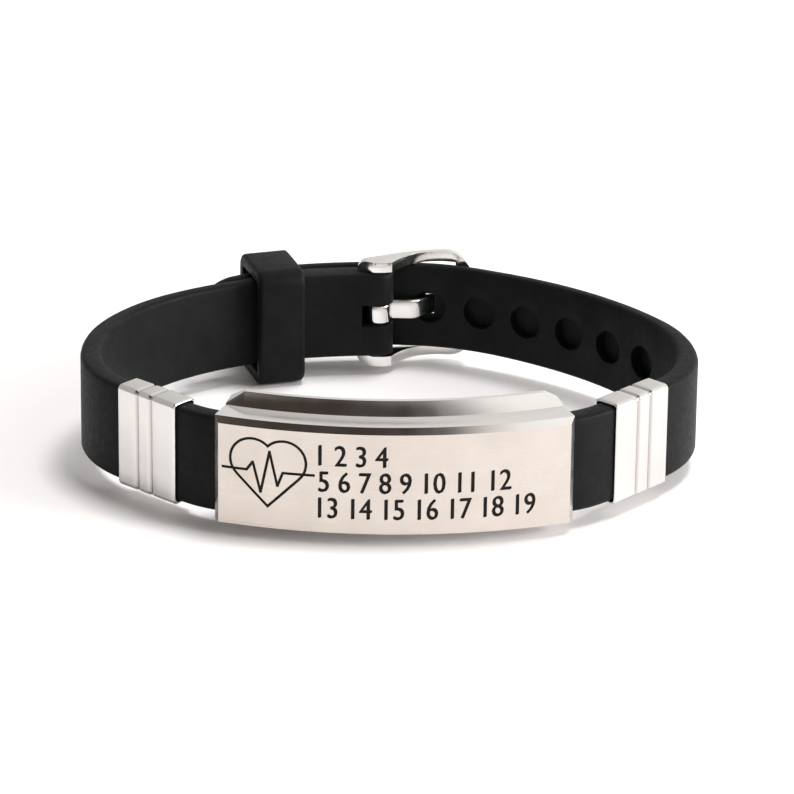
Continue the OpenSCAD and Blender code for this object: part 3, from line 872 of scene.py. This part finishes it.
def slide_profile():
    """Inner face, then the outer face with soft grooves between its three bands."""
    centre = SLIDE_WALL - SLIDE_END_R
    profile = [(SLIDE_CHAMFER, 0), (SLIDE_LENGTH - SLIDE_CHAMFER, 0), (SLIDE_LENGTH, SLIDE_CHAMFER)]
    profile += arcs([(SLIDE_LENGTH - SLIDE_END_R, centre, SLIDE_END_R, 0)], 4)
    edges = [1.0, *reversed(SLIDE_BANDS), 0.0]
    for right, left in zip(edges, edges[1:]):
        x1 = right * SLIDE_LENGTH - (SLIDE_END_R if right == 1 else GROOVE_HALF)
        x0 = left * SLIDE_LENGTH + (SLIDE_END_R if left == 0 else GROOVE_HALF)
        profile += [(x1 + (x0 - x1) * t, SLIDE_WALL) for t in (0.25, 0.5, 0.75)]
        if left > 0:
            profile += [(left * SLIDE_LENGTH - t * GROOVE_HALF,
                         SLIDE_WALL - GROOVE_DEPTH * (0.5 + 0.5 * math.cos(math.pi * t)))
                        for t in np.linspace(-1, 1, 9)]
    return profile + arcs([(SLIDE_END_R, centre, SLIDE_END_R, 90)], 4) + [(0, SLIDE_CHAMFER)]


def groove_shares(profile):
    """How deep in a groove each point is, from 0 to 1, which sets how much painted shade it gets. The inner
    face and the round ends are in none.
    """
    return [(SLIDE_WALL - o) / GROOVE_DEPTH
            if o > SLIDE_CHAMFER and SLIDE_END_R < x < SLIDE_LENGTH - SLIDE_END_R else 0.0
            for x, o in profile]


def slide(name, runs, mirrored, node):
    start = on_runs(runs, runs[0][0], PLATE_END)
    middle = outward(ahead(start, start[2], SLIDE_END_GAP), start[2], STRAP_THICKNESS / 2)
    room = (STRAP_THICKNESS + 2 * STRAP_GAP, STRAP_WIDTH + 2 * STRAP_GAP)
    profile = slide_profile()
    obj = band(name, room, SLIDE_CORNER_R, profile, BUFFED, (*middle, 0), start[2], mirrored,
               groove_shares(profile))
    hand_over(obj, node)


def keeper_profile():
    """A soft moulded wall with well rounded edges."""
    half, inner_r, outer_r = KEEPER_LENGTH / 2, 0.2, 0.5
    high = KEEPER_WALL - outer_r
    return arcs([(half - inner_r, inner_r, inner_r, -90), (half - outer_r, high, outer_r, 0),
                 (outer_r - half, high, outer_r, 90), (inner_r - half, inner_r, inner_r, 180)], 4)


def keeper_band():
    p = on_runs(BUCKLE_SIDE_RUNS, KEEPER_S, PLATE_END)
    middle = outward(p, p[2], KEEPER_OUT)
    obj = band("keeper_band", KEEPER_ROOM, KEEPER_CORNER_R, keeper_profile(), RUBBER,
               (*middle, -KEEPER_PLAY / 2), p[2], True)
    hand_over(obj, "keeper")


# Plate
FACE_HALF_HEIGHT = POCKET_HALF_HEIGHT + PLATE_EDGE
RIM_HALF_HEIGHT = BACK_HEIGHT / 2
LEDGE_R = PLATE_R - FRONT_THICKNESS
RIM_FRONT_R = LEDGE_R - RIM_LEAN
BACK_INNER_R = LEDGE_R - BACK_THICKNESS
# The cut corners start at this height at the plate's ends
CORNER_Z = FACE_HALF_HEIGHT + 0.15
END_X = LEDGE_R * math.sin(math.radians(PLATE_HALF_ANGLE))
CORNER_SLANT = (RIM_HALF_HEIGHT - CORNER_Z) / BACK_CORNER
LEAN_SLANT = (RIM_HALF_HEIGHT - FACE_HALF_HEIGHT) / RIM_LEAN
# The leaning faces are sunk by this share of their width
HOLLOW_SHARE = 0.03
HOLLOW_STEPS = 5
PLATE_STATIONS = 200
# Keeps two points apart where the bevel ends
APART = 0.0001


def hollow_run(start, end):
    """Points between two corners of the section, sunk a little into the steel like a drawn cove."""
    (r0, z0), (r1, z1) = start, end
    points = []
    for t in (k / HOLLOW_STEPS for k in range(1, HOLLOW_STEPS)):
        deep = HOLLOW_SHARE * 4 * t * (1 - t)
        points.append((r0 + (r1 - r0) * t - (z0 - z1) * deep, z0 + (z1 - z0) * t - (r1 - r0) * deep))
    return points


def plate_section(angle):
    """The plate's closed section at an angle, as radius and height."""
    from_end = math.radians(PLATE_HALF_ANGLE - abs(angle)) * PLATE_R
    front = PLATE_R - max(0.0, FACE_BEVEL - from_end)
    slope = front - (PLATE_R - FACE_BEVEL)
    across = math.sin(math.radians(abs(angle)))

    def cut_height(r):
        return CORNER_Z + max(0.0, END_X - r * across) * CORNER_SLANT

    rim_r, rim_z = RIM_FRONT_R, RIM_HALF_HEIGHT
    if cut_height(rim_r) < rim_z:
        # Where the corner's slant meets the leaning face
        rim_r = ((LEAN_SLANT * LEDGE_R + FACE_HALF_HEIGHT - CORNER_Z - CORNER_SLANT * END_X)
                 / (LEAN_SLANT - CORNER_SLANT * across))
        rim_r = min(rim_r, LEDGE_R - 0.05)
        rim_z = FACE_HALF_HEIGHT + (LEDGE_R - rim_r) * LEAN_SLANT
    back_z = min(RIM_HALF_HEIGHT, cut_height(BACK_INNER_R + BACK_BEVEL))
    ledge = (LEDGE_R, FACE_HALF_HEIGHT)
    behind = [(BACK_INNER_R, back_z - BACK_BEVEL), (BACK_INNER_R + BACK_BEVEL, back_z), (rim_r, rim_z),
              *hollow_run((rim_r, rim_z), ledge), ledge]
    # Only the upper edge of the face is bevelled
    face = [(PLATE_R - FACE_BEVEL, FACE_HALF_HEIGHT), (front + APART, FACE_HALF_HEIGHT - slope - APART),
            (front + APART, 0), (front + APART, -FACE_HALF_HEIGHT)]
    return [(BACK_INNER_R, 0)] + behind + face + [(r, -z) for r, z in reversed(behind)]


def on_plate(r, angle, z):
    a = math.radians(angle)
    return (r * math.sin(a), PLATE_CENTRE_Y - r * math.cos(a), z)


def plate_blank():
    """The steel plate before its pockets and engraving."""
    # Sections stand where the end bevels and the slanting corners start, too
    end = PLATE_HALF_ANGLE - math.degrees(FACE_BEVEL / PLATE_R)
    corner = math.degrees(math.asin((END_X - BACK_CORNER) / RIM_FRONT_R))
    angles = sorted({*np.linspace(-PLATE_HALF_ANGLE, PLATE_HALF_ANGLE, PLATE_STATIONS).tolist(),
                     -end, end, -corner, corner})
    rings = [[on_plate(r, a, z) for r, z in plate_section(a)] for a in angles]
    return close_and_face_out(skin("engraved_plate", rings))


def pocket_cutter(side):
    """The room for a strap's end, as a short arc."""
    angles = np.linspace(PLATE_HALF_ANGLE - POCKET_ANGLE, PLATE_HALF_ANGLE + 2, 9)
    section = [(POCKET_INNER_R, -POCKET_HALF_HEIGHT), (POCKET_OUTER_R, -POCKET_HALF_HEIGHT),
               (POCKET_OUTER_R, POCKET_HALF_HEIGHT), (POCKET_INNER_R, POCKET_HALF_HEIGHT)]
    rings = [[on_plate(r, side * a, z) for r, z in section] for a in angles]
    return close_and_face_out(skin("cutter", rings))


def wrapped(obj):
    """Bends a flat drawing, with X along, Y up and Z out, round the plate's face."""
    for v in obj.data.vertices:
        x, y, z = v.co
        v.co = on_plate(PLATE_R + z, math.degrees(x / PLATE_R), y)
    obj.data.update()
    return obj


ENGRAVING_DEPTH = 0.16
ENGRAVED_HALF_LENGTH = 19
STROKE_R = 0.155
NUMBER_SIZE = 3.5
NUMBER_SPREAD = 0.06
# Three rows of plain counting numbers: text, left edge, height of the baseline, width
NUMBER_ROWS = [("1 2 3 4", -8.4, 1.75, 7.6), ("5 6 7 8 9 10 11 12", -8.4, -1.35, 21.3),
               ("13 14 15 16 17 18 19", -8.4, -4.45, 24.1)]
# A plain heart with the line of a heartbeat, whose points are given from the heart's place
HEART_AT = (-14.1, 0.3)
HEART_WIDTH = 8.6
PULSE = [(-5.2, 0.2), (-2.4, 0.2), (-1.7, 1.2), (-0.8, -2.3), (0.2, 2.6), (1.1, -1.4), (1.7, 0.2), (5.2, 0.2)]
PULSE_OVERLAP = 0.6 * STROKE_R


def number_row(text, left, baseline, width, shift):
    """One row of figures. It is cut twice, a little apart, which gives the strokes their width."""
    curve = bpy.data.curves.new("numbers", "FONT")
    curve.body = text
    curve.size = NUMBER_SIZE
    curve.extrude = ENGRAVING_DEPTH
    curve.resolution_u = 3
    obj = new_object("numbers", curve)
    mesh = evaluated_mesh(obj)
    drop(obj)
    xs = [v.co.x for v in mesh.vertices]
    stretch = width / (max(xs) - min(xs))
    to_place = Matrix.Translation((left - min(xs) * stretch + shift, baseline + shift / 2, 0))
    mesh.transform(to_place @ Matrix.Diagonal((stretch, 1, 1, 1)))
    return new_object("cutter", mesh)


def heart_outline():
    """A plain heart: a square on its corner with half a circle on each upper side."""
    d = HEART_WIDTH / (1 + math.sqrt(2))
    right = [(d / 2 + d / math.sqrt(2) * math.cos(a), d / 2 + d / math.sqrt(2) * math.sin(a))
             for a in np.radians(np.linspace(-45, 135, 20))]
    points = [(0, -d)] + right + [(-x, y) for x, y in reversed(right[:-1])]
    return [(x, y - 0.1 * d) for x, y in points]


def stroke(points, cyclic):
    """A flat engraver's stroke along a line of points, square at the bottom."""
    line = np.array(points) + HEART_AT
    steps = np.roll(line, -1, axis=0) - line
    if not cyclic:
        steps[-1] = steps[-2]
    steps /= np.linalg.norm(steps, axis=1)[:, None]
    before = np.roll(steps, 1, axis=0)
    if not cyclic:
        before[0] = steps[0]
    sides = []
    for a, b in zip(before, steps):
        across = np.array([-(a + b)[1], (a + b)[0]])
        across /= np.linalg.norm(across)
        sides.append(across * STROKE_R / max(0.35, float(np.dot(across, (-b[1], b[0])))))
    bottom, top = -ENGRAVING_DEPTH, 0.4
    rings = [[(*(p - side), bottom), (*(p + side), bottom), (*(p + side), top), (*(p - side), top)]
             for p, side in zip(line, sides)]
    return skin("cutter", rings, cyclic)


def pulse_strokes():
    """The line of a heartbeat, one straight cut for each of its runs."""
    cuts = []
    for a, b in zip(np.array(PULSE), np.array(PULSE[1:])):
        more = (b - a) / np.linalg.norm(b - a) * PULSE_OVERLAP
        cuts.append(stroke([a - more, b + more], False))
    return cuts


def plate_finish(face):
    """Which finish a face of the plate has: 0 polished, 1 satin on the front, 2 the engraving's black."""
    out = face.center - Vector((0, PLATE_CENTRE_Y, face.center.z))
    below = PLATE_R - out.length
    if below < 0.02:
        return 1 if face.normal.dot(out.normalized()) > 0.97 else 0
    inside = (abs(face.center.x) < ENGRAVED_HALF_LENGTH
              and abs(face.center.z) < FACE_HALF_HEIGHT - FACE_BEVEL - 0.1)
    return 2 if inside and below < 1.2 * ENGRAVING_DEPTH else 0


def engraved_plate():
    plate = plate_blank()
    for side in (-1, 1):
        cut_away(plate, pocket_cutter(side))
        cut_away(plate, rod(*plate_pin_place(side), PLATE_PIN_D / 2 + PIN_GAP, PLATE_PIN_REACH))
    bevel(mark_outside_edges(close_and_face_out(plate), 20), PLATE_EDGE_R, 2)
    numbers = [number_row(*row, shift) for row in NUMBER_ROWS for shift in (-NUMBER_SPREAD, NUMBER_SPREAD)]
    for cutter in numbers + [stroke(heart_outline(), True)] + pulse_strokes():
        cut_away(plate, wrapped(in_triangles(close_and_face_out(cutter, 1e-5))))
    paint(plate, POLISHED, SATIN, FILL)
    for face in plate.data.polygons:
        face.material_index = plate_finish(face)
    smooth_below(plate, 10)
    hand_over(stand_up(plate), "id_plate")


# Buckle
def cad_copy(node, name):
    """A merged copy of a node's mesh, free of its inner edges."""
    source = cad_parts[node]
    obj = new_object(name, source.data.copy())
    with open_mesh(obj) as work:
        bmesh.ops.remove_doubles(work, verts=work.verts, dist=2e-7)
        bmesh.ops.dissolve_limit(work, angle_limit=math.radians(0.5), verts=work.verts, edges=work.edges)
    return obj


def rounded_frame():
    obj = cad_copy("buckle_frame", "rounded_frame")
    bevel(obj, FRAME_EDGE_R * MM, 4, 30)
    smooth_below(paint(obj, POLISHED), 40)
    hand_over(obj, "buckle_frame")


def tongue_route():
    """Round the bar, then along the shaft with soft bends to the tip."""
    ring_r = TONGUE_LINE[0][1]
    turns = np.radians(np.linspace(-TONGUE_RING_TURN, 0, 40))
    points = [(ring_r * math.sin(a), ring_r * math.cos(a)) for a in turns]
    for a, b, c in zip(TONGUE_LINE, TONGUE_LINE[1:], TONGUE_LINE[2:]):
        a, b, c = np.array(a), np.array(b), np.array(c)
        before = b + (a - b) / np.linalg.norm(a - b) * TONGUE_BEND
        after = b + (c - b) / np.linalg.norm(c - b) * TONGUE_BEND
        points += [(1 - t) ** 2 * before + 2 * t * (1 - t) * b + t * t * after for t in np.linspace(0, 1, 8)]
    return [from_bar(p) for p in points + TONGUE_LINE[-1:]]


def bent_tongue():
    path = tongue_route()
    obj = sweep("bent_tongue", path, -ways_out(path), TONGUE_THICKNESS, TONGUE_WIDTH / 2,
                TONGUE_CORNER_R, -TONGUE_THICKNESS / 2, POLISHED)
    cut_away(obj, rod(*BAR_AT, BAR_D / 2 + 2 * PIN_GAP))
    bevel(close_and_face_out(obj), TONGUE_EDGE_R, 3, 60)
    smooth_below(paint(obj, POLISHED), 45)
    hand_over(stand_up(obj), "buckle_tongue")


def plain_steel():
    """The bar and the two pins keep their CAD meshes and get the buckle's steel."""
    for node in ("buckle_bar", "plate_pin_left", "plate_pin_right"):
        paint(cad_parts[node], POLISHED)


# Camera, floor and light
CAMERA_TURN = math.radians(1.23)
CAMERA_DROP = math.radians(21.935)
CAMERA_ROLL = math.radians(0.685)
CAMERA_FROM = (-10.96, -544.0, 217.7)
FOCAL_PIXELS = 5113.7
PICTURE_PIXELS = 794
FLOOR_HALF = 1.5


def camera():
    """The photograph's view, fitted to the ring's plane."""
    data = bpy.data.cameras.new("camera")
    obj = new_object("camera", data)
    forward = Vector((math.sin(CAMERA_TURN) * math.cos(CAMERA_DROP),
                      math.cos(CAMERA_TURN) * math.cos(CAMERA_DROP), -math.sin(CAMERA_DROP)))
    right = forward.cross(Vector((0, 0, 1))).normalized()
    up = right.cross(forward)
    c, s = math.cos(CAMERA_ROLL), math.sin(CAMERA_ROLL)
    right, up = right * c + up * s, up * c - right * s
    turn = Matrix((right, up, -forward)).transposed().to_4x4()
    lean = Matrix.Rotation(REST_TILT, 4, "X")
    obj.matrix_world = Matrix.Translation(place(CAMERA_FROM)) @ lean @ turn
    data.sensor_width = 36
    data.lens = data.sensor_width * FOCAL_PIXELS / PICTURE_PIXELS
    data.clip_start, data.clip_end = 0.01, 20
    bpy.context.scene.camera = obj


def floor():
    corners = [(x * FLOOR_HALF, y * FLOOR_HALF, 0) for x, y in ((-1, -1), (1, -1), (1, 1), (-1, 1))]
    obj = paint(mesh_object("floor", corners, [(0, 1, 2, 3)]), floor_white())


def softbox(name, at, size, watts):
    """A square lamp that points at the bracelet."""
    data = bpy.data.lights.new(name, "AREA")
    data.shape = "SQUARE"
    data.size = size
    data.energy = watts
    obj = new_object(name, data)
    obj.location = at
    obj.rotation_euler = (-Vector(at)).to_track_quat("-Z", "Y").to_euler()
    return obj


def smooth_between(tree, value, low, high):
    """0 below low, 1 above high, with a soft change."""
    node = tree.nodes.new("ShaderNodeMapRange")
    node.interpolation_type = "SMOOTHSTEP"
    node.inputs["From Min"].default_value = low
    node.inputs["From Max"].default_value = high
    tree.links.new(value, node.inputs["Value"])
    return node.outputs["Result"]


def towards(tree, way, direction, low, high):
    """1 where the view looks towards a direction, 0 where it looks elsewhere."""
    node = tree.nodes.new("ShaderNodeVectorMath")
    node.operation = "DOT_PRODUCT"
    node.inputs[1].default_value = direction
    tree.links.new(way, node.inputs[0])
    return smooth_between(tree, node.outputs["Value"], low, high)


def product(tree, a, b):
    node = tree.nodes.new("ShaderNodeMath")
    node.operation = "MULTIPLY"
    tree.links.new(a, node.inputs[0])
    tree.links.new(b, node.inputs[1])
    return node.outputs[0]


ROOM_LEFT = (0.55, 0.54, 0.53)
ROOM_RIGHT = (1.12, 1.1, 1.07)
ROOM_FRONT = (0.45, 0.43, 0.41)
ROOM_OVERHEAD = (0.05, 0.039, 0.033)
OVERHEAD_WAY = (-0.16, -0.36, 0.919)
ROOM_FILL = 0.7


def studio():
    """A white room, brighter on the right, dimmer behind the camera, and dark overhead on the left."""
    world = bpy.data.worlds.new("studio")
    world.use_nodes = True
    tree = world.node_tree
    back = tree.nodes["Background"]
    way = tree.nodes.new("ShaderNodeTexCoord").outputs["Generated"]
    left = between(tree, towards(tree, way, (1, 0, 0), 0.1, 0.4), 1, 0)
    overhead = product(tree, towards(tree, way, OVERHEAD_WAY, 0.82, 0.97), left)
    front = product(tree, towards(tree, way, (0, -1, 0), 0.1, 0.6), left)
    right = towards(tree, way, (1, 0, 0), -0.5, 0.6)
    walls = blend_colours(tree, right, ROOM_LEFT, ROOM_RIGHT)
    room = blend_colours(tree, front, walls, ROOM_FRONT)
    colour = blend_colours(tree, overhead, room, ROOM_OVERHEAD)
    tree.links.new(colour, back.inputs["Color"])
    # The room lights matt things less than it shows in the steel
    diffuse = tree.nodes.new("ShaderNodeLightPath").outputs["Is Diffuse Ray"]
    tree.links.new(between(tree, diffuse, 1.0, ROOM_FILL), back.inputs["Strength"])
    bpy.context.scene.world = world
    # The lamp overhead isn't seen in the steel
    softbox("key_softbox", (0.24, 0.13, 1.17), 0.4, 10.5).visible_glossy = False
    softbox("right_softbox", (1.2, -0.25, 0.4), 0.6, 17)


hole_side_strap()
buckle_side_strap()
slide("right_slide", HOLE_SIDE_RUNS, False, "slide_right")
slide("left_slide", BUCKLE_SIDE_RUNS, True, "slide_left")
keeper_band()
engraved_plate()
rounded_frame()
bent_tongue()
plain_steel()
camera()
floor()
studio()
bpy.context.scene.view_settings.view_transform = "Standard"
